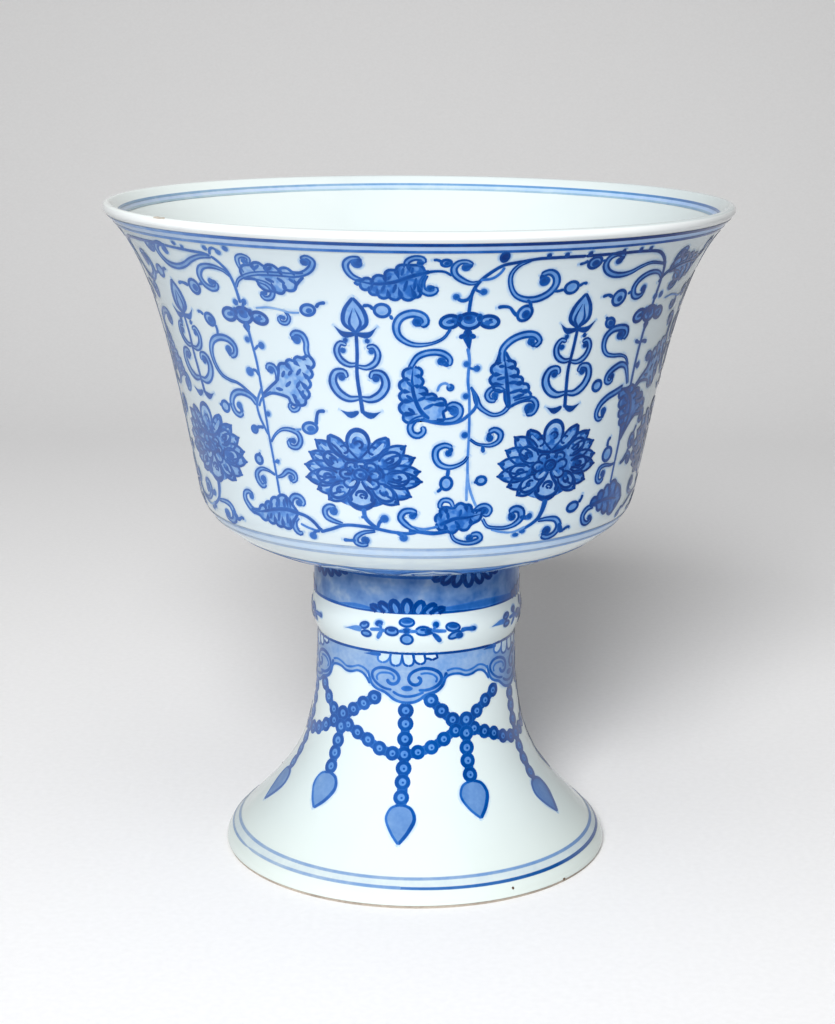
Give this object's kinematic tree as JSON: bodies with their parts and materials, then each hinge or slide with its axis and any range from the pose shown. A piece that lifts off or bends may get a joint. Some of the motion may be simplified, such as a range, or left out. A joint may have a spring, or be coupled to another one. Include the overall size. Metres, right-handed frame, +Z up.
{
  "type": "stem cup",
  "caption": "Porcelain stem cup: deep bowl with a flared lip on a hollow stem with a raised ring and a bell foot, glazed, painted in cobalt blue.",
  "frame": {"origin": "centre of the standing edge of the foot, on the surface it stands on", "axes": "+Z up along the axis of the cup, -Y towards the viewer in the picture, +X to the viewer's right"},
  "size_m": [0.149, 0.149, 0.16],
  "materials": {
    "porcelain": "bare fired biscuit, smooth, slightly toasted at the foot",
    "slip": "fired slip between two luted pieces",
    "glaze": "clear glossy glaze with a faint blue-green tint over white clay",
    "cobalt": "cobalt painting under clear glossy glaze",
    "cobalt_wash": "thin cobalt wash under clear glossy glaze"
  },
  "bodies": {
    "root": {"bowl": "porcelain", "stem": "porcelain", "stem_ring": "porcelain", "slip_joint": "slip", "glaze_outside": "glaze", "glaze_inside": "glaze", "glaze_foot": "glaze"}
  },
  "joints": []
}
